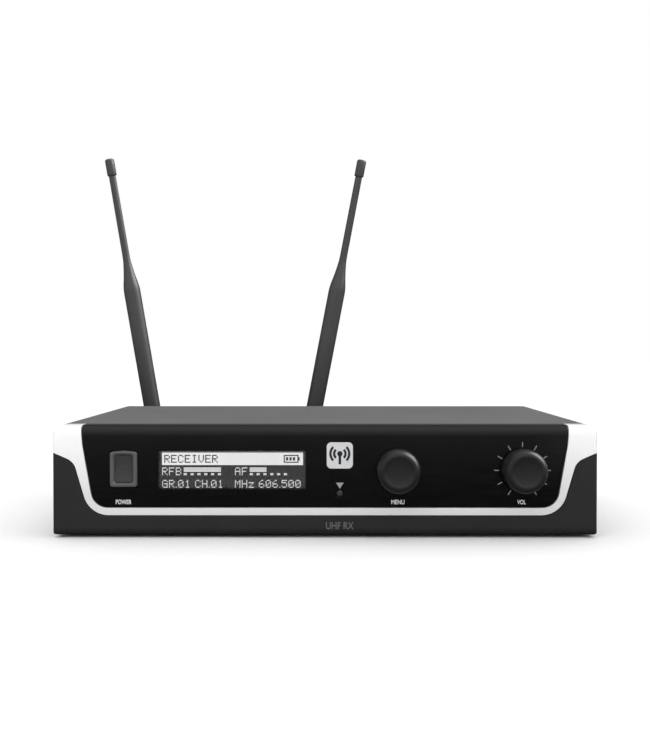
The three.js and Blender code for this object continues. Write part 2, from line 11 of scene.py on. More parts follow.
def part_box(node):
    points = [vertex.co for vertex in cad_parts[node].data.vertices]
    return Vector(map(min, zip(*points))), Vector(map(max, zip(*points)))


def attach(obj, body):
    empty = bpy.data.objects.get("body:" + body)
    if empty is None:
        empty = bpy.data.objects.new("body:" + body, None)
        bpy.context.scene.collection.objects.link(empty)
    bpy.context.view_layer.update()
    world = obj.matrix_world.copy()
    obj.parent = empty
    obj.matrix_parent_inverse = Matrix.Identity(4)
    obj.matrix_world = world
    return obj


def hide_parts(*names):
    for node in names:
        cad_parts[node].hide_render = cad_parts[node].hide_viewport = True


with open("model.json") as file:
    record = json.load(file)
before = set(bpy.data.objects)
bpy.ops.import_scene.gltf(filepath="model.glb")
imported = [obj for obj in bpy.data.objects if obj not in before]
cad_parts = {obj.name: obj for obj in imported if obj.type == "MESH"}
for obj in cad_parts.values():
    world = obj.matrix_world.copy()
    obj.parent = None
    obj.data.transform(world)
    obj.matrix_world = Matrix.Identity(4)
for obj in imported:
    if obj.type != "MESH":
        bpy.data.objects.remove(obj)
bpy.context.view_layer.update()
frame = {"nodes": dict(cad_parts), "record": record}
scene = bpy.context.scene

# ---------------------------------------------------------------- places
# Shapes are drawn in millimetres about the middle of the case's footprint. The front faces -Y.
MM = 0.001
CASE_BACK = 80.0
_low, _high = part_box("top_cover")
CENTRE = Vector(((_low.x + _high.x) / 2, _high.y - CASE_BACK * MM, 0.0))
CASE = "receiver"  # the body that everything fixed rides on


def span(node):
    """A CAD node's (low, high) along X, Y and Z, in millimetres about the case's centre."""
    low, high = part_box(node)
    return [((low[i] - CENTRE[i]) / MM, (high[i] - CENTRE[i]) / MM) for i in range(3)]


def middle(node):
    return [(low + high) / 2 for low, high in span(node)]


# ---------------------------------------------------------------- meshes
def make(name, points, faces):
    mesh = bpy.data.meshes.new(name)
    mesh.from_pydata([CENTRE + Vector(p) * MM for p in points], [], faces)
    work = bmesh.new()
    work.from_mesh(mesh)
    bmesh.ops.recalc_face_normals(work, faces=work.faces)
    work.to_mesh(mesh)
    work.free()
    piece = bpy.data.objects.new(name, mesh)
    scene.collection.objects.link(piece)
    return piece


def along(axis, u, v, height):
    return {"x": (height, u, v), "y": (u, height, v), "z": (u, v, height)}[axis]


def outline(corners, grow=0.0, steps=10):
    """Points round counter-clockwise corners (u, v[, radius]), with every side moved out by grow."""
    count, points = len(corners), []
    spots = [Vector(c[:2]) for c in corners]
    for i, corner in enumerate(corners):
        before = (spots[i] - spots[i - 1]).normalized()
        after = (spots[(i + 1) % count] - spots[i]).normalized()
        out_before, out_after = Vector((before.y, -before.x)), Vector((after.y, -after.x))
        tip = spots[i] + (out_before + out_after) * grow / (1 + out_before.dot(out_after))
        turn = math.asin(max(-1.0, min(1.0, before.x * after.y - before.y * after.x)))
        side = math.copysign(1, turn)
        radius = corner[2] + side * grow if len(corner) > 2 else 0
        if radius <= 0:
            points.append(tip)
            continue
        start = tip - before * radius * math.tan(abs(turn) / 2)
        hub = start - out_before * side * radius
        points += [hub + Matrix.Rotation(turn * k / steps, 2) @ (start - hub) for k in range(steps + 1)]
    return points


def rectangle(u, v, width, height, radius=0.0):
    w, h = width / 2, height / 2
    return [(u - w, v - h, radius), (u + w, v - h, radius), (u + w, v + h, radius), (u - w, v + h, radius)]


def loft(name, axis, sections, ring=False):
    """A solid through sections (points, height) that have the same number of points. As a ring, it
    closes from the last section to the first and so has no ends."""
    n, count = len(sections[0][0]), len(sections)
    corners = [along(axis, p[0], p[1], h) for points, h in sections for p in points]
    faces = [] if ring else [tuple(range(n)), tuple(range(n * count - n, n * count))]
    for s in range(count if ring else count - 1):
        a, b = n * s, n * ((s + 1) % count)
        faces += [(a + i, a + (i + 1) % n, b + (i + 1) % n, b + i) for i in range(n)]
    return make(name, corners, faces)


def prism(name, axis, points, low, high):
    return loft(name, axis, [(points, low), (points, high)])


def block(name, x, y, z):
    return prism(name, "z", [(x[0], y[0]), (x[1], y[0]), (x[1], y[1]), (x[0], y[1])], *z)


def turned(name, axis, u, v, profile, sides=64, flutes=0):
    """A solid of revolution. The profile is (radius, height[, flute depth]) and starts and ends on the
    axis, or else closes on itself."""
    corners, rings = [], []
    for radius, height, *depth in profile:
        if radius == 0:
            rings.append([len(corners)])
            corners.append(along(axis, u, v, height))
            continue
        rings.append(list(range(len(corners), len(corners) + sides)))
        for k in range(sides):
            angle = 2 * math.pi * k / sides
            wave = abs(2 * ((k * flutes / sides) % 1) - 1) if flutes else 0
            r = radius - (depth[0] * wave if depth else 0)
            corners.append(along(axis, u + r * math.cos(angle), v + r * math.sin(angle), height))
    faces = []
    pairs = list(zip(rings, rings[1:]))
    if len(rings[0]) > 1:
        pairs.append((rings[-1], rings[0]))
    for a, b in pairs:
        for k in range(sides):
            ring = [a[k % len(a)], a[(k + 1) % len(a)], b[(k + 1) % len(b)], b[k % len(b)]]
            face = tuple(dict.fromkeys(ring))
            if len(face) > 2:
                faces.append(face)
    return make(name, corners, faces)


def rod(name, axis, u, v, radius, low, high, sides=48):
    return turned(name, axis, u, v, [(0, low), (radius, low), (radius, high), (0, high)], sides)


def combine(piece, operation, tools):
    """Cuts, joins or intersects the piece with the tools, which are used up."""
    for tool in tools:
        step = piece.modifiers.new("step", "BOOLEAN")
        step.object, step.operation, step.solver = tool, operation, "EXACT"
        solved = bpy.data.meshes.new_from_object(piece.evaluated_get(bpy.context.evaluated_depsgraph_get()))
        piece.modifiers.clear()
        piece.data = solved
        bpy.data.objects.remove(tool)
    return piece


def cut(piece, *tools):
    return combine(piece, "DIFFERENCE", tools)


def join(piece, *tools):
    return combine(piece, "UNION", tools)


def meet(piece, *tools):
    return combine(piece, "INTERSECT", tools)


def plates(name, shapes, y0, y1):
    """Many small flat prisms in one mesh, drawn in XZ, such as printed marks."""
    corners, faces = [], []
    for shape in shapes:
        n, first = len(shape), len(corners)
        corners += [(x, y, z) for y in (y0, y1) for x, z in shape]
        faces += [tuple(range(first, first + n)), tuple(range(first + n, first + 2 * n))]
        faces += [(first + i, first + (i + 1) % n, first + n + (i + 1) % n, first + n + i) for i in range(n)]
    return make(name, corners, faces)


def arc_band(x, z, inner, outer, start, end, steps=14):
    """Quads of a ring's arc. Angles are in degrees from +X towards +Z."""
    def spot(radius, k):
        angle = math.radians(start + (end - start) * k / steps)
        return x + radius * math.cos(angle), z + radius * math.sin(angle)

    return [[spot(inner, k), spot(outer, k), spot(outer, k + 1), spot(inner, k + 1)] for k in range(steps)]


def ticks(x, z, start, step, inner, outer, half):
    """Eleven radial marks round a knob. Angles are in degrees, measured from the top."""
    marks = []
    for k in range(11):
        angle = math.radians(start + step * k)
        out, across = Vector((math.sin(angle), math.cos(angle))), Vector((math.cos(angle), -math.sin(angle)))
        near, far = Vector((x, z)) + out * inner, Vector((x, z)) + out * outer
        marks.append([near - across * half, near + across * half, far + across * half, far - across * half])
    return marks


def lettering(name, text, x, z, width, height, y0, y1):
    """Raised letters that fill a width and height, read from the front, or from behind if y1 > y0."""
    curve = bpy.data.curves.new(name, "FONT")
    curve.body, curve.extrude, curve.offset, curve.resolution_u = text, 0.5, 0.012, 6
    drawn = bpy.data.objects.new(name, curve)
    scene.collection.objects.link(drawn)
    flat = bpy.data.meshes.new_from_object(drawn.evaluated_get(bpy.context.evaluated_depsgraph_get()))
    spots = [v.co.copy() for v in flat.vertices]
    faces = [tuple(p.vertices) for p in flat.polygons]
    bpy.data.objects.remove(drawn)
    bpy.data.meshes.remove(flat)
    low = [min(s[i] for s in spots) for i in range(3)]
    size = [max(s[i] for s in spots) - low[i] for i in range(3)]
    facing = 1 if y1 < y0 else -1
    points = []
    for s in spots:
        share = [(s[i] - low[i]) / size[i] for i in range(3)]
        across, up = facing * (share[0] - 0.5) * width, (share[1] - 0.5) * height
        points.append((x + across, y0 + share[2] * (y1 - y0), z + up))
    return make(name, points, faces)


def dress(piece, body, slot, look, *stands_for, edge=0.0, angle=30.0):
    """Gives a piece its surface, softened edges and body, and hides the CAD nodes that it stands for. The slot is
    not used.
    """
    piece.data.materials.clear()
    piece.data.materials.append(look)
    piece.data.shade_smooth()
    if edge:
        soften(piece, edge, angle)
    else:
        piece.data.set_sharp_from_angle(angle=math.radians(angle))
    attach(piece, body)
    if stands_for:
        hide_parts(*stands_for)
    return piece


def soften(piece, width, angle=30.0):
    """Rounds a piece's edges by a width in millimetres and keeps its large flat faces shaded flat."""
    bevel = piece.modifiers.new("soft_edges", "BEVEL")
    bevel.width, bevel.segments, bevel.limit_method = width * MM, 2, "ANGLE"
    bevel.angle_limit, bevel.use_clamp_overlap = math.radians(angle), False
    flat = piece.modifiers.new("flat_faces", "WEIGHTED_NORMAL")
    flat.weight, flat.keep_sharp = 100, True


def carry(node, look, edge=0.0):
    """A CAD node that is shown as it is, with its own surface."""
    piece = frame["nodes"][node]
    piece.data.materials.clear()
    piece.data.materials.append(look)
    if edge:
        weld = piece.modifiers.new("one_skin", "WELD")
        weld.merge_threshold = 1e-5
        soften(piece, edge)


# ---------------------------------------------------------------- surfaces
class Look:
    """A Principled surface whose colour, gloss and relief come from noise in the object's own space."""

    def __init__(self, name, color, rough, metal=0.0, **sockets):
        self.material = bpy.data.materials.new(name)
        self.material.use_nodes = True
        self.tree = self.material.node_tree
        self.shader = self.tree.nodes["Principled BSDF"]
        self.color, self.rough, self.normal = color, rough, None
        self.set(Base_Color=(*color, 1), Roughness=rough, Metallic=metal, **sockets)
        self.place = self.tree.nodes.new("ShaderNodeTexCoord").outputs["Object"]

    def set(self, **sockets):
        for key, value in sockets.items():
            self.shader.inputs[key.replace("_", " ")].default_value = value

    def node(self, kind, settings=None, **sockets):
        made = self.tree.nodes.new("ShaderNode" + kind)
        for key, value in (settings or {}).items():
            setattr(made, key, value)
        for key, value in sockets.items():
            socket = made.inputs[key.replace("_", " ")]
            if isinstance(value, bpy.types.NodeSocket):
                self.tree.links.new(value, socket)
            else:
                socket.default_value = value
        return made

    def noise(self, size, stretch=(1, 1, 1), detail=3.0):
        """Noise with features of a size in millimetres."""
        place = self.node("Mapping", Vector=self.place, Scale=tuple(1 / s for s in stretch))
        made = self.node("TexNoise", Vector=place.outputs[0], Scale=1 / (size * MM), Detail=detail)
        return made.outputs["Fac"]

    def cells(self, size):
        made = self.node("TexVoronoi", Vector=self.place, Scale=1 / (size * MM))
        return made.outputs["Color"]

    def between(self, source, low, high, start=0.3, end=0.7):
        made = self.node("MapRange", Value=source, From_Min=start, From_Max=end, To_Min=low, To_Max=high)
        return made.outputs[0]

    def tint(self, source, other, start=0.3, end=0.7):
        """Runs the colour from the base to another as the source goes from start to end."""
        mix = self.node("Mix", {"data_type": "RGBA"})
        self.tree.links.new(self.between(source, 0, 1, start, end), mix.inputs["Factor"])
        linked = self.shader.inputs["Base Color"].links
        if linked:
            self.tree.links.new(linked[0].from_socket, mix.inputs[6])
        else:
            mix.inputs[6].default_value = (*self.color, 1)
        mix.inputs[7].default_value = (*other, 1)
        self.tree.links.new(mix.outputs[2], self.shader.inputs["Base Color"])
        return self

    def gloss(self, source, low, high):
        self.tree.links.new(self.between(source, low, high), self.shader.inputs["Roughness"])
        return self

    def relief(self, source, depth):
        """Bumps of a depth in millimetres."""
        bump = self.node("Bump", Height=source, Distance=depth * MM)
        if self.normal:
            self.tree.links.new(self.normal, bump.inputs["Normal"])
        self.normal = bump.outputs[0]
        self.tree.links.new(self.normal, self.shader.inputs["Normal"])
        return self


def scaled(color, factor):
    return tuple(min(1.0, c * factor) for c in color)


def moulded(name, color, rough, grain=0.35, depth=0.02, **sockets):
    """Plastic or rubber with a fine spark-eroded grain and faint cloudy handling marks."""
    look = Look(name, color, rough, **sockets)
    fine, cloud = look.noise(grain, detail=2.0), look.noise(14)
    look.tint(cloud, scaled(color, 1.18)).tint(fine, scaled(color, 0.9))
    look.gloss(cloud, rough * 0.9, rough * 1.1).relief(fine, depth)
    return look.material


def antenna_rubber():
    """Satin rubber with painted shade and light: darker low down near the case and paler towards its upper end."""
    color = (0.018, 0.018, 0.0184)
    look = Look("antenna_rubber", color, 0.42, Specular_IOR_Level=0.9)
    # painted shade and light: the rubber is painted darker below 35 mm, near the case, and paler up to 80 mm
    height = look.node("SeparateXYZ", Vector=look.place).outputs["Z"]
    fine, cloud = look.noise(0.5, detail=2.0), look.noise(14)
    look.tint(height, (0.052, 0.052, 0.053), 35 * MM, 80 * MM)
    look.tint(fine, (0.022, 0.022, 0.0225), 0.45, 1.2)
    look.gloss(cloud, 0.38, 0.46).relief(fine, 0.015)
    return look.material


def powder_coat(name, color, rough):
    look = Look(name, color, rough, Specular_IOR_Level=0.4)
    peel, grit, cloud = look.noise(0.9, detail=2.0), look.noise(0.22, detail=1.0), look.noise(60)
    look.tint(grit, scaled(color, 0.72), 0.35, 0.75).tint(cloud, scaled(color, 1.06))
    look.gloss(peel, rough * 0.88, rough * 1.12).relief(peel, 0.05).relief(grit, 0.03)
    return look.material


def plated(name, color, rough, stretch=(1, 1, 1), grain=0.5):
    """Metal with fine drawn or plated marks."""
    look = Look(name, color, rough, 1.0)
    marks, cloud = look.noise(grain, stretch), look.noise(9)
    look.tint(cloud, scaled(color, 0.82)).gloss(marks, rough * 0.7, rough * 1.4).relief(marks, 0.006)
    return look.material


def silver_paint():
    """Pale metallic paint: bright flakes under a satin clear coat, with painted light: the colour runs paler from
    16 mm up to 40 mm, as if lit from above.
    """
    color = (0.66, 0.66, 0.665)
    look = Look("trim_silver", color, 0.42, 0.0, Coat_Weight=0.25, Coat_Roughness=0.2)
    flakes, cloud = look.cells(0.12), look.noise(30)
    # painted light: the trim is painted paler towards its top, standing in for light falling from above
    height = look.node("SeparateXYZ", Vector=look.place).outputs["Z"]
    look.tint(height, (0.88, 0.88, 0.88), 16 * MM, 40 * MM)
    look.tint(flakes, scaled(color, 0.93), 0.55, 1.4)
    look.gloss(cloud, 0.38, 0.46).relief(look.noise(0.5), 0.006)
    return look.material


def badge_paint():
    """A brushed silver foil under clear lacquer."""
    color = (0.75, 0.755, 0.77)
    look = Look("badge_silver", color, 0.38, 0.25, Coat_Weight=0.3)
    brushed = look.noise(0.4, (12, 1, 1))
    look.tint(brushed, scaled(color, 0.93)).gloss(brushed, 0.3, 0.45).relief(brushed, 0.004)
    return look.material


def black_acrylic():
    """Polished black sheet with faint wipe marks and a slight moulding wave."""
    look = Look("fascia_gloss", (0.0022, 0.0022, 0.0024), 0.14, Specular_IOR_Level=0.45)
    wipe, cloud = look.noise(1.2, (9, 1, 1)), look.noise(24)
    look.tint(cloud, (0.0032, 0.0032, 0.0035))
    look.gloss(wipe, 0.11, 0.18).relief(look.noise(18), 0.003)
    return look.material


def smoked_window():
    look = Look("window_tint", (0.93, 0.93, 0.93), 0.03, Transmission_Weight=1.0, IOR=1.45)
    look.gloss(look.noise(2.0, (6, 1, 1)), 0.02, 0.05)
    return look.material


def glowing(name, color, strength):
    """A lit part of the display, a little uneven as a backlight is."""
    look = Look(name, (0.01, 0.01, 0.01), 0.6, Emission_Strength=strength, Specular_IOR_Level=0.2)
    mix = look.node("Mix", {"data_type": "RGBA"})
    look.tree.links.new(look.between(look.noise(22), 0, 1), mix.inputs["Factor"])
    mix.inputs[6].default_value, mix.inputs[7].default_value = (*color, 1), (*scaled(color, 0.9), 1)
    look.tree.links.new(mix.outputs[2], look.shader.inputs["Emission Color"])
    return look.material


def circuit_board():
    """Green resist over etched tracks, with a scatter of tinned pads."""
    look = Look("board_green", (0.012, 0.11, 0.045), 0.35)
    tracks = look.node("TexBrick", {"offset": 0.5}, Vector=look.place, Scale=180.0, Mortar_Size=0.012)
    look.tint(tracks.outputs["Fac"], (0.03, 0.2, 0.08), 0.2, 0.8)
    pads = look.node("TexVoronoi", {"feature": "F1"}, Vector=look.place, Scale=260.0).outputs["Distance"]
    look.tint(pads, (0.55, 0.56, 0.55), 0.16, 0.1)
    look.relief(tracks.outputs["Fac"], 0.03)
    return look.material


def ink(name, color):
    look = Look(name, color, 0.5)
    look.tint(look.noise(0.5), scaled(color, 0.88)).relief(look.noise(0.2), 0.005)
    return look.material


LOOKS = {
    "case_paint": powder_coat("case_paint", (0.124, 0.124, 0.126), 0.52),
    "bezel_plastic": moulded("bezel_plastic", (0.0195, 0.0195, 0.0205), 0.5, Specular_IOR_Level=0.35),
    "trim_silver": silver_paint(),
    "fascia_gloss": black_acrylic(),
    "window_tint": smoked_window(),
    "display_face": glowing("display_face", (0.008, 0.008, 0.008), 1.0),
    "control_plastic": moulded("control_plastic", (0.038, 0.038, 0.039), 0.42),
    "knob_skin": moulded("knob_skin", (0.013, 0.013, 0.013), 0.36, 0.25, 0.01),
    "badge_silver": badge_paint(),
    "foot_rubber": moulded("foot_rubber", (0.018, 0.018, 0.019), 0.8, 0.4, 0.03),
    "antenna_rubber": antenna_rubber(),
    "nickel": plated("nickel", (0.72, 0.69, 0.64), 0.22),
    "contact_brass": plated("contact_brass", (0.83, 0.62, 0.27), 0.2),
    "connector_black": moulded("connector_black", (0.016, 0.016, 0.017), 0.35, 0.3, 0.012),
    "board_green": circuit_board(),
    "tinned_steel": plated("tinned_steel", (0.6, 0.61, 0.62), 0.35, (1, 6, 1)),
    "anodised_black": plated("anodised_black", (0.03, 0.03, 0.032), 0.4, (1, 1, 8)),
    "screw_black": plated("screw_black", (0.05, 0.05, 0.055), 0.35),
    "cable_jacket": moulded("cable_jacket", (0.02, 0.02, 0.021), 0.55, 0.6, 0.02),
}
COLLAR_PLASTIC = moulded("collar_plastic", (0.09, 0.09, 0.091), 0.42)
WHITE_INK = ink("white_ink", (0.78, 0.78, 0.78))
PALE_INK = ink("pale_ink", (0.3, 0.3, 0.3))
SCALE_INK = ink("scale_ink", (0.24, 0.24, 0.24))
GREY_INK = ink("grey_ink", (0.13, 0.13, 0.13))
SHADE_INK = ink("shade_ink", (0.055, 0.055, 0.055))
DARK_INK = ink("dark_ink", (0.018, 0.018, 0.02))
LIT = glowing("lit_dots", (0.93, 0.93, 0.93), 1.0)


def finish(piece, body, slot, *stands_for, edge=0.0, angle=30.0):
    return dress(piece, body, slot, LOOKS[slot], *stands_for, edge=edge, angle=angle)


# ---------------------------------------------------------------- case
GAP = 0.3
HALF_WIDTH = 106.0
VENTS, FIRST_VENT, VENT_PITCH, VENT_HEIGHT = 7, 20, 6, 24  # count, first Y, spacing, Z of the middle
(_, (FRONT, BEZEL_BACK), (BOTTOM, TOP)) = span("front_bezel")
COVER_FRONT = span("top_cover")[1][0]


def top_cover():
    inner = HALF_WIDTH - 1
    section = outline([
        (-HALF_WIDTH, BOTTOM), (-inner, BOTTOM), (-inner, TOP - 1, 3), (inner, TOP - 1, 3),
        (inner, BOTTOM), (HALF_WIDTH, BOTTOM), (HALF_WIDTH, TOP, 4), (-HALF_WIDTH, TOP, 4),
    ], steps=8)
    cover = prism("cover", "y", section, COVER_FRONT, CASE_BACK)
    for k in range(VENTS):
        slot = outline(rectangle(FIRST_VENT + VENT_PITCH * k, VENT_HEIGHT, 1.8, 15, 0.9), steps=6)
        cut(cover, prism("slot", "x", slot, -110, 110))
    for node in ("cover_screw_right_front", "cover_screw_right_rear"):
        _, y, z = middle(node)
        cut(cover, rod("hole", "x", y, z, 3, -110, 110))
    finish(cover, CASE, "case_paint", "top_cover", edge=0.18)


def cover_screw(node):
    (x0, x1), (y0, y1), (z0, z1) = span(node)
    y, z, side = (y0 + y1) / 2, (z0 + z1) / 2, math.copysign(1, x0 + x1)
    face = max(abs(x0), abs(x1))
    radius = (y1 - y0) / 2
    head = turned(node + "_shown", "x", y, z, [(0, side * (face - 5.9)), (1.5, side * (face - 5.9)),
        (1.5, side * (face - 0.9)), (radius, side * (face - 0.9)), (radius, side * (face - 0.25)),
        (radius - 0.3, side * face), (0, side * face)])
    recess = turned("recess", "x", y, z, [(0, side * (face - 0.7)), (0.9, side * (face - 0.7), 0.25),
        (1.2, side * (face + 1), 0.35), (0, side * (face + 1))], 48, 6)
    finish(cut(head, recess), CASE, "screw_black", node, edge=0.05)


def rubber_foot(node):
    (x0, x1), (y0, y1), (_, z1) = span(node)
    x, y, r, seat = (x0 + x1) / 2, (y0 + y1) / 2, (x1 - x0) / 2, BOTTOM - GAP
    profile = [(0, 0.5), (1.6, 0.5), (1.8, 0.0), (r - 0.7, 0), (r - 0.15, 0.2), (r, 0.6), (r, seat),
        (1.4, seat), (1.4, z1), (0, z1)]
    finish(turned(node + "_shown", "z", x, y, profile, 48), CASE, "foot_rubber", node)


def rear_panel():
    (x0, x1), _, (z0, z1) = span("rear_panel")
    y0, y1 = CASE_BACK - 1.2, CASE_BACK
    panel = prism("panel", "y", outline([(x0, z0), (x1, z0), (x1, z1, 3), (x0, z1, 3)]), y0, y1)
    for side in (-1, 1):
        tab = sorted((side * (x1 - 1.3), side * (x1 - 2.3)))
        join(panel, block("tab", tab, (y0 - 9, y0 + 0.1), (14, 40)))
    for node, radius in (("antenna_socket_left", 6.3), ("antenna_socket_right", 6.3), ("xlr_shell", 12.3),
                         ("jack_nut", 5.2), ("squelch_knob", 3.5), ("dc_inlet", 5.6)):
        x, _, z = middle(node)
        cut(panel, rod("hole", "y", x, z, radius, y0 - 1, y1 + 1))
    x, _, z = middle("level_switch_body")
    cut(panel, prism("slot", "y", outline(rectangle(x, z, 6.8, 3.8, 0.5)), y0 - 1, y1 + 1))
    finish(panel, CASE, "case_paint", "rear_panel")


# ---------------------------------------------------------------- front
WINDOW = [(-89.9, 12.1, 6.3), (89.9, 12.1, 6.3), (94.2, 36.5, 25), (94.65, TOP + 0.05, 1),
          (-94.65, TOP + 0.05, 1), (-94.2, 36.5, 25)]
TRIM = [(-91.7, 8.88, 10), (91.7, 8.88, 10), (97.8, 29.75, 6), (112, 36), (112, 60), (-112, 60),
        (-112, 36), (-97.8, 29.75, 6)]
FASCIA_FRONT = span("display_window")[1][0]
INSERT_BACK = FRONT + 2.7
WEB_FRONT, WEB_BACK = INSERT_BACK + GAP, INSERT_BACK + GAP + 2
HOLLOW_X, HOLLOW_TOP = HALF_WIDTH - 2.2, TOP - 2
KNOBS = {name: middle(name + "_knob") for name in ("menu", "volume")}
BUTTON, COLLAR = span("power_button"), span("power_button_collar")
COLLAR_ARCH = 0.5


def front_block(name, set_back=0.0):
    """The bezel's whole outer form, rounded at its top, bottom and side edges."""
    y0, w = FRONT + set_back, HALF_WIDTH
    face = outline([(-w, BOTTOM, 1.2), (w, BOTTOM, 1.2), (w, TOP, 4), (-w, TOP, 4)])
    form = prism(name, "y", face, y0 - 1, BEZEL_BACK)
    side = outline([(y0, BOTTOM, 3), (BEZEL_BACK, BOTTOM), (BEZEL_BACK, TOP), (y0, TOP, 4)])
    plan = outline([(-w, y0, 1.5), (w, y0, 1.5), (w, BEZEL_BACK), (-w, BEZEL_BACK)], steps=6)
    return meet(form, prism("side", "x", side, -w - 1, w + 1), prism("plan", "z", plan, 0, TOP + 1))


def front_bezel():
    y0, y1 = FRONT - 1, BEZEL_BACK + 1
    hollow = block("hollow", (-HOLLOW_X, HOLLOW_X), (WEB_BACK, y1), (BOTTOM + 2.2, HOLLOW_TOP))
    core = block("core", (-HOLLOW_X + GAP, HOLLOW_X - GAP), (WEB_FRONT, y1), (0, HOLLOW_TOP - GAP))
    window = prism("w", "y", outline(WINDOW), y0 - 1, y1 + 1)
    trim_room = cut(prism("trim_room", "y", outline(TRIM, GAP), y0, y1), window, core)
    fascia_room = prism("fascia_room", "y", outline(WINDOW, GAP), y0, WEB_FRONT)
    bezel = cut(front_block("bezel"), hollow, trim_room, fascia_room)
    (x0, x1), _, (z0, z1) = span("display_window")
    cut(bezel, block("display", (x0 - 2.8, x1 + 2.8), (WEB_FRONT - 1, WEB_BACK + 1), (z0 - 3.6, z1 + 3.6)))
    holes = [(*KNOBS["menu"][::2], 4), (*KNOBS["volume"][::2], 4), (*middle("infrared_light_pipe")[::2], 1.9)]
    for x, z, radius in holes:
        cut(bezel, rod("hole", "y", x, z, radius, WEB_FRONT - 1, WEB_BACK + 1))
    x, _, z = middle("power_button")
    room = outline(rectangle(x, z, 8, 11.7, 0.8))
    cut(bezel, prism("room", "y", room, WEB_FRONT - 1, WEB_BACK + 1))
    finish(bezel, CASE, "bezel_plastic", "front_bezel", edge=0.15)


def silver_trim():
    y0, y1 = FRONT - 1, BEZEL_BACK + 1
    core = block("core", (-HOLLOW_X, HOLLOW_X), (INSERT_BACK, y1), (0, HOLLOW_TOP))
    trim = meet(front_block("trim"), prism("form", "y", outline(TRIM), y0 - 1, y1))
    cut(trim, prism("window", "y", outline(WINDOW, GAP), y0 - 1, y1), core)
    finish(trim, CASE, "trim_silver", "silver_trim", edge=0.22)


def fascia_panel():
    y0, y1 = FRONT - 2, BEZEL_BACK
    form = front_block("fascia", FASCIA_FRONT - FRONT)
    panel = meet(form, prism("form", "y", outline(WINDOW), y0, INSERT_BACK))
    (x0, x1), _, (z0, z1) = span("display_window")
    cut(panel, block("display", (x0 - GAP, x1 + GAP), (y0, y1), (z0 - GAP, z1 + GAP)))
    cut(panel, prism("collar", "y", outline(arched(*COLLAR[::2], COLLAR_ARCH), GAP), y0, y1))
    for x, _, z in KNOBS.values():
        cut(panel, rod("shaft", "y", x, z, 3.8, y0, y1))
    x, _, z = middle("infrared_light_pipe")
    cut(panel, rod("pipe", "y", x, z, 1.35 + GAP, y0, y1))
    (x0, x1), _, (z0, z1) = span("badge_plate")
    seat = outline(rectangle((x0 + x1) / 2, (z0 + z1) / 2, x1 - x0, z1 - z0, 1.8), GAP)
    cut(panel, prism("seat", "y", seat, y0, FASCIA_FRONT + 0.65))
    finish(panel, CASE, "fascia_gloss", "fascia_panel", edge=0.12)


def arched(x, z, arch):
    """A rounded rectangle whose top edge is slightly arched."""
    (x0, x1), (z0, z1) = x, z
    return [(x0, z0, 1), (x1, z0, 1), (x1, z1 - arch, 1), ((x0 + x1) / 2, z1, 10), (x0, z1 - arch, 1)]


def power_button():
    """A slightly hollow cap in a frame whose inner edge slopes down to it."""
    _, (y0, y1), _ = COLLAR
    (bx0, bx1), (by0, by1), (bz0, bz1) = BUTTON
    x, z = (bx0 + bx1) / 2, (bz0 + bz1) / 2
    width, height = bx1 - bx0 + 0.36, bz1 - bz0 + 0.36
    outer = arched(*COLLAR[::2], COLLAR_ARCH)
    inner_x = (x - width / 2 - 0.09, x + width / 2 + 0.09)
    inner_z = (z - height / 2 - 0.09, z + height / 2 + 0.2)
    inner = arched(inner_x, inner_z, 0.2)
    sections = [
        (outer, 0, y1), (outer, 0, y0 + 0.6), (outer, -0.2, y0 + 0.25), (outer, -0.6, y0),
        (inner, 0.85, y0), (inner, 0.7, y0 + 0.06), (inner, 0.12, y0 + 0.7), (inner, 0, y0 + 0.85), (inner, 0, y1),
    ]
    collar = loft("collar", "y", [(outline(form, grow), y) for form, grow, y in sections], ring=True)
    dress(collar, CASE, "control_plastic", COLLAR_PLASTIC, "power_button_collar", angle=50)
    cap_back = WEB_BACK + 0.5
    cap = prism("button", "y", outline(rectangle(x, z, width, height, 0.9)), by0 + 0.15, cap_back)
    dish = turned("dish", "x", by0 - 21.2, z, [(0, bx0 - 1), (22, bx0 - 1), (22, bx1 + 1), (0, bx1 + 1)], 200)
    cut(cap, dish)
    join(cap, rod("stem", "y", x, z, 1.8, cap_back - 0.5, by1))
    finish(cap, "power_button_body", "control_plastic", "power_button", edge=0.12, angle=20)
    bar = [(x - 0.17, z + 0.3), (x + 0.17, z + 0.3), (x + 0.17, z + 2.0), (x - 0.17, z + 2.0)]
    mark = plates("power_symbol", arc_band(x, z, 1.25, 1.6, 120, 420, 24) + [bar], by0 + 0.7, by0 + 0.78)
    dress(mark, "power_button_body", "control_plastic", SHADE_INK)


def knob(name, body):
    x, _, z = KNOBS[name]
    (x0, x1), (front, back), _ = span(name + "_knob")
    radius = (x1 - x0) / 2
    rim = 6.0  # where the dished face meets the rounded shoulder
    dish = [(0, front + 0.75), (2.2, front + 0.72), (4.2, front + 0.55), (5.2, front + 0.28),
            (5.7, front + 0.08)]
    arc = [(rim + (radius - rim) * math.sin(a), front + 3.4 * (1 - math.cos(a)))
           for a in (math.pi / 2 * k / 12 for k in range(13))]
    skirt = [(radius - 0.08, back - 0.5), (radius - 0.35, back), (radius - 1.5, back),
             (radius - 1.8, back - 6), (4.6, back - 6), (4.6, back), (3.3, back), (3.3, back - 8), (0, back - 8)]
    made = turned(name + "_knob_shown", "y", x, z, dish + arc + skirt, 128)
    finish(made, body, "knob_skin", name + "_knob", angle=50)


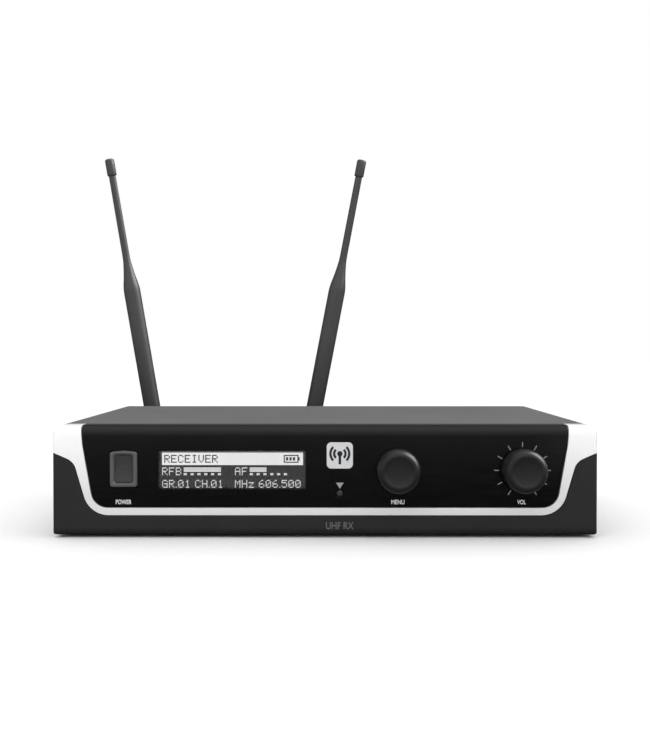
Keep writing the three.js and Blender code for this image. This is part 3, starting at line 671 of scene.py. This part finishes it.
def badge():
    (x0, x1), (y0, y1), (z0, z1) = span("badge_plate")
    x, z = (x0 + x1) / 2, (z0 + z1) / 2
    plate = prism("badge", "y", outline(rectangle(x, z, x1 - x0, z1 - z0, 1.8)), y0, y1)
    finish(plate, CASE, "badge_silver", "badge_plate", edge=0.2)
    mast = [[(x - 0.5, z - 3.4), (x + 0.5, z - 3.4), (x + 0.5, z + 0.2), (x - 0.5, z + 0.2)]]
    waves = arc_band(x, z + 0.7, 0, 1.05, 0, 360, 20)
    for side in (0, 180):
        for radius in (1.75, 3.2):
            waves += arc_band(x, z + 0.7, radius, radius + 0.9, side - 46, side + 46)
    symbol = plates("badge_symbol", mast + waves, y0 - 0.03, y0 + 0.02)
    dress(symbol, CASE, "badge_silver", DARK_INK)


SUNK, PROUD = 0.02, 0.03  # how far a printed mark reaches into its surface and stands out of it


def front_marks():
    ink_back, ink_front = FASCIA_FRONT + SUNK, FASCIA_FRONT - PROUD
    for name, text, x, width in (("label_power", "POWER", -78.4, 6.1), ("label_menu", "MENU", 28.4, 5.15),
                                 ("label_volume", "VOL", 76.5, 3.35)):
        label = lettering(name, text, x, 14.05, width, 1.75, ink_back, ink_front)
        dress(label, CASE, "fascia_gloss", WHITE_INK)
    x, _, z = KNOBS["volume"]
    scale = ticks(x, z - 0.3, -150, 30, 9.05, 11.05, 0.2)
    dress(plates("volume_scale", scale, ink_front, ink_back), CASE, "fascia_gloss", SCALE_INK)
    x, _, z = middle("infrared_light_pipe")
    triangle = [(x, z + 1.8), (x + 1.5, z + 4.2), (x - 1.5, z + 4.2)]
    dress(plates("infrared_arrow", [triangle], ink_front, ink_back), CASE, "fascia_gloss", PALE_INK)
    name = lettering("apron_lettering", "UHF RX", 5.8, 4.85, 10.8, 2.8, FRONT + SUNK, FRONT - PROUD)
    dress(name, CASE, "bezel_plastic", GREY_INK)


def infrared_window():
    (x0, x1), (y0, y1), (z0, z1) = span("infrared_light_pipe")
    x, z, r = (x0 + x1) / 2, (z0 + z1) / 2, (x1 - x0) / 2
    profile = [(0, y0), (r * 0.5, y0 + 0.05), (r * 0.85, y0 + 0.2), (r, y0 + 0.5), (r, y1), (0, y1)]
    pipe = turned("infrared_window", "y", x, z, profile, 40)
    dress(pipe, CASE, "window_tint", SMOKED_LENS, "infrared_light_pipe", angle=50)


SMOKED_LENS = moulded("smoked_lens", (0.035, 0.033, 0.036), 0.12, 0.8, 0.002)

# ---------------------------------------------------------------- display
DOT = 0.4445  # the side of one display dot
# Each letter is seven rows of five dots, the leftmost dot worth 16.
LETTERS = {
    "A": (14, 17, 17, 31, 17, 17, 17), "B": (30, 17, 17, 30, 17, 17, 30), "C": (14, 17, 16, 16, 16, 17, 14),
    "E": (31, 16, 16, 30, 16, 16, 31), "F": (31, 16, 16, 30, 16, 16, 16), "G": (14, 17, 16, 23, 17, 17, 15),
    "H": (17, 17, 17, 31, 17, 17, 17), "I": (14, 4, 4, 4, 4, 4, 14), "M": (17, 27, 21, 21, 17, 17, 17),
    "R": (30, 17, 17, 30, 20, 18, 17), "V": (17, 17, 17, 17, 17, 10, 4), "z": (0, 0, 31, 2, 4, 8, 31),
    "0": (14, 17, 19, 21, 25, 17, 14), "1": (4, 12, 4, 4, 4, 4, 14), "5": (31, 16, 30, 1, 1, 17, 14),
    "6": (6, 8, 16, 30, 17, 17, 14),
}
COLUMNS, ROWS = 128, 32
TITLE_ROWS = 12


def write(dots, text, column, row, lit=True):
    for letter in text:
        if letter == " ":
            column += 3
        elif letter == ".":
            dots[row + 6][column] = lit
            column += 2
        else:
            for r, bits in enumerate(LETTERS[letter]):
                for c in range(5):
                    if bits >> (4 - c) & 1:
                        dots[row + r][column + c] = lit
            column += 6


def meter(dots, column, row, segments, full):
    """A level meter: a solid bar as far as it is full, over a row of dashes."""
    for c in range(6 * segments - 3):
        for r in range(4):
            dots[row + r][column + c] = c < 6 * full - 3
        dots[row + 5][column + c] = dots[row + 6][column + c] = c % 6 < 3


def display():
    (x0, x1), _, (z0, z1) = span("display_window")
    dots = [[1 <= r < TITLE_ROWS and 2 <= c < 126 for c in range(COLUMNS)] for r in range(ROWS)]
    write(dots, "RECEIVER", 4, 3, lit=False)
    battery = [(r, c) for r in range(3, 10) for c in range(109, 122)
               if r in (3, 9) or c in (109, 121) or (r in (5, 6, 7) and c in (111, 112, 114, 115, 117, 118))]
    for r, c in battery + [(5, 122), (6, 122), (7, 122)]:
        dots[r][c] = False
    write(dots, "RFB", 2, 14)
    write(dots, "AF", 66, 14)
    meter(dots, 21, 14, 6, 6)
    meter(dots, 79, 14, 6, 3)
    write(dots, "GR.01 CH.01", 2, 25)
    write(dots, "MHz 606.500", 66, 25)
    left = (x0 + x1) / 2 - COLUMNS * DOT / 2
    upper = (z0 + z1) / 2 + ROWS * DOT / 2
    tiles = []
    for r, line in enumerate(dots):
        c = 0
        while c < COLUMNS:
            end = c
            while end < COLUMNS and line[end]:
                end += 1
            if end > c:
                seam = 0.01 if r < TITLE_ROWS else 0.065
                a, b = left + c * DOT + seam, left + end * DOT - seam
                high, low = upper - r * DOT - seam, upper - (r + 1) * DOT + seam
                tiles.append([(a, low), (b, low), (b, high), (a, high)])
            c = max(end, c + 1)
    back = span("lcd_module")[1][0]
    dress(plates("display_dots", tiles, back - 0.12, back - 0.06), CASE, "display_face", LIT)
    carry("lcd_module", LOOKS["display_face"])
    carry("display_window", LOOKS["window_tint"], edge=0.1)


# ---------------------------------------------------------------- rear sockets
def xlr():
    (x0, x1), (y0, y1), (z0, z1) = span("xlr_shell")
    x, z = (x0 + x1) / 2, (z0 + z1) / 2
    shell = prism("xlr_flange", "y", outline(rectangle(x, z, x1 - x0, z1 - z0, 3)), CASE_BACK + GAP, y1)
    join(shell, rod("barrel", "y", x, z, 11.8, y0, y1 - 0.4, 96))
    bore = [(0, y0 - 1), (8.2, y0 - 1), (8.2, y1 - 0.8), (9.2, y1 + 0.2), (0, y1 + 0.2)]
    cut(shell, turned("bore", "y", x, z, bore, 96))
    cut(shell, block("key", (x - 1.6, x + 1.6), (y0 + 8, y1 + 1), (z + 7, z + 9.4)))
    for side in (-1, 1):
        spot = (x + side * 9.5, z - side * 12)
        sink = [(0, y1 - 1.5), (1.6, y1 - 1.5), (1.6, y1 - 1.2), (3, y1 + 0.2), (0, y1 + 0.2)]
        cut(shell, turned("sink", "y", *spot, sink, 40))
        head = turned("xlr_screw_" + ("left" if side < 0 else "right"), "y", *spot,
            [(0, y1 - 1.4), (1.5, y1 - 1.4), (2.6, y1 - 0.3), (2.4, y1 - 0.1), (0, y1)], 40)
        recess = [(0, y1 - 0.8), (0.8, y1 - 0.8, 0.25), (1.1, y1 + 1, 0.35), (0, y1 + 1)]
        cut(head, turned("recess", "y", *spot, recess, 48, 6))
        finish(head, CASE, "screw_black", edge=0.04)
    finish(shell, CASE, "connector_black", "xlr_shell", edge=0.2)
    _, (cy0, cy1), _ = span("xlr_contacts")
    insert = rod("xlr_insert", "y", x, z, 7.8, cy0, cy0 + 8.8, 64)
    spots = [(x - 3.9, z + 1.6), (x + 3.9, z + 1.6), (x, z - 4.6)]
    for u, v in spots:
        cut(insert, rod("hole", "y", u, v, 1.3, cy0 + 2, cy1))
    finish(insert, CASE, "connector_black", edge=0.2)
    for k, (u, v) in enumerate(spots):
        profile = [(0, cy0 + 3), (1.15, cy0 + 3), (1.15, cy1 - 0.9), (1.0, cy1 - 0.4), (0.6, cy1 - 0.05), (0, cy1)]
        pin = turned(f"xlr_pin_{k + 1}", "y", u, v, profile, 32)
        finish(pin, CASE, "contact_brass", *(["xlr_contacts"] if k == 0 else []), angle=50)


def jack():
    x, _, z = middle("jack_nut")
    (x0, x1), (y0, y1), (z0, z1) = span("jack_socket")
    body = block("jack_body", (x0, x1), (y0, CASE_BACK - 1.5), (z0, z1))
    threads = [(4.85 - (0.25 if k % 2 else 0), CASE_BACK - 2 + 0.35 * k) for k in range(15)]
    bush = turned("bush", "y", x, z, [(0, CASE_BACK - 2), *threads, (4.4, y1), (0, y1)], 64)
    join(body, bush)
    bore = [(0, y0 + 2), (3.3, y0 + 2), (3.3, y1 - 0.4), (3.8, y1 + 0.2), (0, y1 + 0.2)]
    cut(body, turned("bore", "y", x, z, bore, 64))
    finish(body, CASE, "connector_black", "jack_socket", edge=0.08)
    _, (n0, n1), _ = span("jack_nut")
    hexagon = [(x + 7.6 * math.cos(math.pi / 3 * k), z + 7.6 * math.sin(math.pi / 3 * k)) for k in range(6)]
    nut = prism("jack_nut_shown", "y", hexagon, n0, n1)
    chamfer = [(0, n0 - 0.1), (7.7, n0 - 0.1), (7.7, n1 - 0.6), (6.4, n1 + 0.05), (0, n1 + 0.05)]
    meet(nut, turned("chamfer", "y", x, z, chamfer, 96))
    cut(nut, rod("bore", "y", x, z, 5.2, n0 - 1, n1 + 1, 64))
    finish(nut, CASE, "nickel", "jack_nut", edge=0.08)


def dc_inlet():
    (x0, x1), (y0, y1), (z0, z1) = span("dc_inlet")
    x, z = (x0 + x1) / 2, (z0 + z1) / 2
    body = block("dc_body", (x - 4.5, x + 4.5), (y0, CASE_BACK - 1.5), (z0, z1))
    barrel = [(0, CASE_BACK - 2), (5.15, CASE_BACK - 2), (5.15, y1 - 0.2), (4.95, y1), (0, y1)]
    join(body, turned("barrel", "y", x, z, barrel, 64))
    bore = [(0, y0 + 3.5), (2.9, y0 + 3.5), (2.9, y1 - 0.4), (3.3, y1 + 0.2), (0, y1 + 0.2)]
    cut(body, turned("bore", "y", x, z, bore, 64))
    finish(body, CASE, "connector_black", "dc_inlet", edge=0.08)
    profile = [(0, y0 + 3), (1, y0 + 3), (1, CASE_BACK - 1), (0.6, CASE_BACK - 0.6), (0, CASE_BACK - 0.6)]
    finish(turned("dc_pin", "y", x, z, profile, 32), CASE, "nickel")


def squelch():
    x, _, z = middle("squelch_knob")
    _, (y0, y1), _ = span("squelch_knob")
    base = CASE_BACK + 1
    profile = [(0, y0), (1.5, y0), (1.5, base), (5.0, base), (5.2, base + 0.3, 0.0), (5.2, base + 0.9, 0.45),
        (5.2, y1 - 0.9, 0.45), (4.7, y1 - 0.3, 0.0), (4.3, y1), (0, y1)]
    made = turned("squelch_knob_shown", "y", x, z, profile, 128, 16)
    cut(made, block("pointer", (x - 0.3, x + 0.3), (y1 - 0.5, y1 + 1), (z + 0.8, z + 6)))
    finish(made, "squelch_knob_body", "connector_black", "squelch_knob", edge=0.06)
    stroke = [(x - 0.28, z + 0.9), (x + 0.28, z + 0.9), (x + 0.28, z + 4.2), (x - 0.28, z + 4.2)]
    line = plates("squelch_pointer", [stroke], y1 - 0.5, y1 - 0.44)
    dress(line, "squelch_knob_body", "connector_black", WHITE_INK)


def level_switch():
    (x0, x1), (y0, y1), (z0, z1) = span("level_switch_lever")
    lever = block("level_lever_shown", (x0, x1), (y0, y1), (z0, z1))
    for k in (-1, 0, 1):
        x = (x0 + x1) / 2 + 0.7 * k
        cut(lever, block("grip", (x - 0.18, x + 0.18), (y1 - 0.3, y1 + 1), (z0 - 1, z1 + 1)))
    finish(lever, "level_lever", "connector_black", "level_switch_lever", edge=0.06)


def rear_marks():
    """Plain function words beside the sockets, and a scale round the squelch knob."""
    back, front = CASE_BACK - SUNK, CASE_BACK + PROUD
    words = (("antenna_a", "A", "antenna_socket_left", 2.2, 33.5),
             ("antenna_b", "B", "antenna_socket_right", 2.2, 33.5),
             ("jack_out", "OUT", "jack_nut", 5.2, 33.5), ("squelch", "SQUELCH", "squelch_knob", 11, 31.5),
             ("level", "LEVEL", "level_switch_body", 8, 31.5), ("dc", "DC IN", "dc_inlet", 7.5, 31.5))
    for name, text, node, width, z in words:
        x = middle(node)[0]
        dress(lettering("label_" + name, text, x, z, width, 2.0, back, front), CASE, "case_paint", WHITE_INK)
    x, _, z = middle("squelch_knob")
    scale = ticks(x, z, -135, 27, 6.2, 7.2, 0.15)
    dress(plates("squelch_scale", scale, back, front), CASE, "case_paint", WHITE_INK)


# ---------------------------------------------------------------- antennas
def antenna(side):
    pivot = Vector(middle("antenna_hinge_pin_" + side))
    tip_at = Vector(middle("antenna_tip_" + side))
    lean = math.atan2(tip_at.x - pivot.x, tip_at.z - pivot.z)
    nut_span = [s - pivot.y for s in span("antenna_coupling_nut_" + side)[1]]
    turn = Matrix.Translation(CENTRE + pivot * MM) @ Matrix.Rotation(lean, 4, "Y") @ Matrix.Translation(-CENTRE)

    def settle(piece):
        """From the antenna's own upright frame, with the hinge pin at its origin, to its place."""
        piece.data.transform(turn)
        return piece

    socket_y = span("antenna_socket_" + side)[1]
    x, z = pivot.x, pivot.z
    threads = [(5.5 - (0.35 if k % 2 else 0), CASE_BACK + 1.9 + 0.42 * k) for k in range(19)]
    socket = turned("antenna_socket_shown_" + side, "y", x, z, [
        (0, socket_y[0]), (1.5, socket_y[0]), (1.5, 70), (5.9, 70), (5.9, CASE_BACK + GAP),
        (6.9, CASE_BACK + GAP), (7, CASE_BACK + 0.5), (7, CASE_BACK + 1.4), (6.7, CASE_BACK + 1.7), *threads,
        (5.1, socket_y[1]), (4.1, socket_y[1]), (3.9, socket_y[1] - 0.3), (3.9, CASE_BACK + 3), (0, CASE_BACK + 3),
    ], 72)
    finish(socket, CASE, "nickel", "antenna_socket_" + side)

    a, b = nut_span
    nut = turned("coupling_nut_shown_" + side, "y", 0, 0, [
        (5.9, a), (6.7, a), (7.1, a + 0.5, 0), (7.4, a + 1.3, 0.45), (7.4, b - 3.6, 0.45), (7.1, b - 3.0, 0),
        (6.6, b - 2.7), (6.6, b - 2.2), (7.2, b - 1.8), (7.2, b - 0.4), (6.8, b), (4.8, b), (4.8, b - 4),
        (5.9, b - 4),
    ], 144, 36)
    finish(settle(nut), f"coupling_nut_{side}", "nickel", "antenna_coupling_nut_" + side)

    # The plug and neck, then the fork's two rounded ears.
    plug = turned("elbow_shown_" + side, "y", 0, 0, [
        (0, -24), (3.3, -24), (3.5, -23.7), (3.5, -17.4), (5.4, -17.4), (5.4, -16.9), (4.4, -16.9), (4.4, -12.6),
        (5.7, -12.6), (6.15, -12.3), (6.3, -11.8), (6.3, -7.4), (5.9, -6.7), (5.2, -6.5), (0, -6.5),
    ], 72)
    lobe = outline([(-10, -5), (5, -5, 4.99), (5, 5, 4.99), (-10, 5)], steps=16)
    fork = meet(prism("fork", "x", lobe, -5.2, 5.2), rod("round", "y", 0, 0, 7.2, -10, 6, 96))
    join(plug, fork)
    cut(plug, block("slot", (-2.7, 2.7), (-6.6, 7), (-7, 7)), rod("bore", "x", 0, 0, 1.55, -8, 8, 40))
    finish(settle(plug), f"elbow_{side}", "antenna_rubber", "antenna_elbow_" + side, edge=0.25)

    pin = turned("hinge_pin_shown_" + side, "x", 0, 0, [
        (0, -6.4), (1.7, -6.4), (2.1, -6.1), (2.1, -5.5), (1.25, -5.5),
        (1.25, 5.5), (2.1, 5.5), (2.1, 6.1), (1.7, 6.4), (0, 6.4),
    ], 48)
    cut(pin, block("slot", (5.9, 7), (-3, 3), (-0.25, 0.25)))
    finish(settle(pin), f"elbow_{side}", "nickel", "antenna_hinge_pin_" + side, edge=0.05)

    whip = turned("whip_shown_" + side, "z", 0, 0, [
        (0, 6.4), (3.3, 6.4), (4.05, 6.8), (4.45, 7.6), (4.45, 8.6), (4.45, 82.5), (4.43, 83.7), (4.3, 85.2),
        (3.95, 87.5), (3.25, 91.0), (2.55, 95.5), (2.17, 98.5), (2.0, 100.5), (1.95, 103), (1.94, 104),
        (1.86, 144.8), (1.85, 145.8), (1.75, 145.9), (1.2, 145.9), (1.2, 150.9), (0, 150.9),
    ], 64)
    eye = join(rod("eye", "x", 0, 0, 4.4, -2.4, 2.4, 64), block("tongue", (-2.4, 2.4), (-4.4, 4.4), (0, 7)))
    join(whip, eye)
    cut(whip, rod("bore", "x", 0, 0, 1.55, -5, 5, 40))
    finish(settle(whip), f"whip_{side}", "antenna_rubber", "antenna_whip_" + side)

    tip = turned("tip_shown_" + side, "z", 0, 0, [
        (0, 152.2), (1.5, 152.2), (1.5, 146.2), (2.1, 146.2), (2.4, 146.4),
        (2.5, 146.8), (2.5, 154.3), (2.35, 154.9), (1.9, 155.25), (0, 155.3),
    ], 48)
    finish(settle(tip), f"whip_{side}", "antenna_rubber", "antenna_tip_" + side, angle=50)


# ---------------------------------------------------------------- build
top_cover()
rear_panel()
for _node in frame["nodes"]:
    if _node.startswith("cover_screw"):
        cover_screw(_node)
    elif _node.startswith("rubber_foot"):
        rubber_foot(_node)
front_bezel()
silver_trim()
fascia_panel()
power_button()
knob("menu", "menu_knob_body")
knob("volume", "volume_knob_body")
badge()
front_marks()
infrared_window()
display()
xlr()
jack()
dc_inlet()
squelch()
level_switch()
rear_marks()
for _side in ("left", "right"):
    antenna(_side)

# CAD nodes that stay as they are keep the finish that the record names for them.
_slot_of = {s["node"]: s["material_slot"] for s in frame["record"]["subparts"]}
for _name, _piece in frame["nodes"].items():
    if not _piece.hide_render and _name not in ("lcd_module", "display_window"):
        carry(_name, LOOKS[_slot_of[_name]])

# ---------------------------------------------------------------- floor, light and camera
FLOOR = 6000  # half the floor's side
_floor_corners = [(-FLOOR, -FLOOR, 0), (FLOOR, -FLOOR, 0), (FLOOR, FLOOR, 0), (-FLOOR, FLOOR, 0)]
floor = make("floor", _floor_corners, [(0, 1, 2, 3)])
_floor_look = Look("floor_paper", (0.91, 0.91, 0.91), 0.9, Specular_IOR_Level=0.0)
_floor_look.tint(_floor_look.noise(200), (0.9, 0.9, 0.9))
floor.data.materials.append(_floor_look.material)
floor.visible_glossy = False


def area_light(name, at, aim, size, watts):
    light = bpy.data.lights.new(name, "AREA")
    light.shape, light.size, light.size_y, light.energy = "RECTANGLE", size[0], size[1], watts
    lamp = bpy.data.objects.new(name, light)
    scene.collection.objects.link(lamp)
    lamp.location = Vector(at)
    lamp.rotation_mode = "QUATERNION"
    lamp.rotation_quaternion = (Vector(aim) - Vector(at)).to_track_quat("-Z", "Y")
    return lamp


area_light("key", (0.85, 0.05, 0.80), (0.05, -0.09, 0.03), (0.2, 0.2), 0.4)
area_light("fill", (-0.3, -0.8, 0.5), (-0.04, 0.1, 0.08), (0.3, 0.6), 0.7).visible_glossy = False


def studio_world():
    """A white backdrop, a dome that lights matt surfaces and is dimmer at the sides, and for reflections a
    dim studio: bright overhead on the right and fading to a dark horizon that is a little lighter in front,
    with a lamp at the upper right."""
    world = bpy.data.worlds.new("studio")
    world.use_nodes = True
    tree = world.node_tree
    tree.nodes.clear()

    def node(kind, settings=None, *inputs):
        made = tree.nodes.new("ShaderNode" + kind)
        for key, value in (settings or {}).items():
            setattr(made, key, value)
        for socket, value in inputs:
            if isinstance(value, bpy.types.NodeSocket):
                tree.links.new(value, made.inputs[socket])
            else:
                made.inputs[socket].default_value = value
        return made

    def ramp(source, start, end, low, high):
        return node("MapRange", None, ("Value", source), ("From Min", start), ("From Max", end),
                    ("To Min", low), ("To Max", high)).outputs[0]

    def math_of(operation, a, b):
        return node("Math", {"operation": operation}, (0, a), (1, b)).outputs[0]

    outward = node("TexCoord").outputs["Generated"]
    towards = node("SeparateXYZ", None, (0, outward)).outputs
    right, back, up = towards["X"], towards["Y"], towards["Z"]
    front = math_of("MULTIPLY", ramp(back, -0.2, 0.2, 1, 0), ramp(up, *FRONT_GLOW))
    sky = math_of("POWER", ramp(up, 0, 1, 0, OVERHEAD_GLOW), 1.3)
    overhead = math_of("MULTIPLY", sky, ramp(right, *LEFT_SHADE))
    nearness = node("VectorMath", {"operation": "DOT_PRODUCT"}, (0, outward), (1, LAMP_AT))
    lamp = math_of("POWER", ramp(nearness.outputs["Value"], *LAMP_GLOW), 2.0)
    seen = math_of("ADD", math_of("ADD", front, overhead), math_of("ADD", lamp, HORIZON_GLOW))
    path = node("LightPath")
    side = ramp(math_of("MULTIPLY", right, right), 0, 1, 1, SIDE_SHADE)
    dome = node("Background", None, ("Color", math_of("MULTIPLY", ramp(back, -1, 1, *DOME), side)))
    reflected = node("Background", None, ("Color", seen))
    backdrop = node("Background", None, ("Color", (1, 1, 1, 1)), ("Strength", 1.0))
    glossy, direct = path.outputs["Is Glossy Ray"], path.outputs["Is Camera Ray"]
    lit = node("MixShader", None, (0, glossy), (1, dome.outputs[0]), (2, reflected.outputs[0]))
    shown = node("MixShader", None, (0, direct), (1, lit.outputs[0]), (2, backdrop.outputs[0]))
    node("OutputWorld", None, (0, shown.outputs[0]))
    scene.world = world


DOME, SIDE_SHADE = (1.27, 1.33), 0.6  # in front and behind; the share left at the far sides
OVERHEAD_GLOW, HORIZON_GLOW = 0.65, 0.02
LEFT_SHADE = (-0.7, -0.2, 0.15, 1.0)  # overhead glow's share at the first X, and at the second
FRONT_GLOW = (-0.09, -0.06, 0.0, 0.34)  # from a height, to a height: glow at the first and at the second
LAMP_AT = (0.725, 0.1, 0.68)
LAMP_GLOW = (0.80, 0.97, 0.0, 2.7)  # from a cosine, to a cosine: square root of the glow at each
studio_world()

CAMERA_AT = (1.3, -555.1, 73.5)
CAMERA_DOWN, CAMERA_LEFT = 1.204, 0.153  # degrees from level, and from straight ahead
LENS, SENSOR = 58.77, 36.0
camera = bpy.data.objects.new("camera", bpy.data.cameras.new("camera"))
scene.collection.objects.link(camera)
camera.location = CENTRE + Vector(CAMERA_AT) * MM
camera.rotation_euler = (math.radians(90 - CAMERA_DOWN), 0, math.radians(CAMERA_LEFT))
camera.data.lens, camera.data.sensor_width = LENS, SENSOR
scene.camera = camera
scene.view_settings.view_transform = "Standard"

bpy.context.view_layer.update()
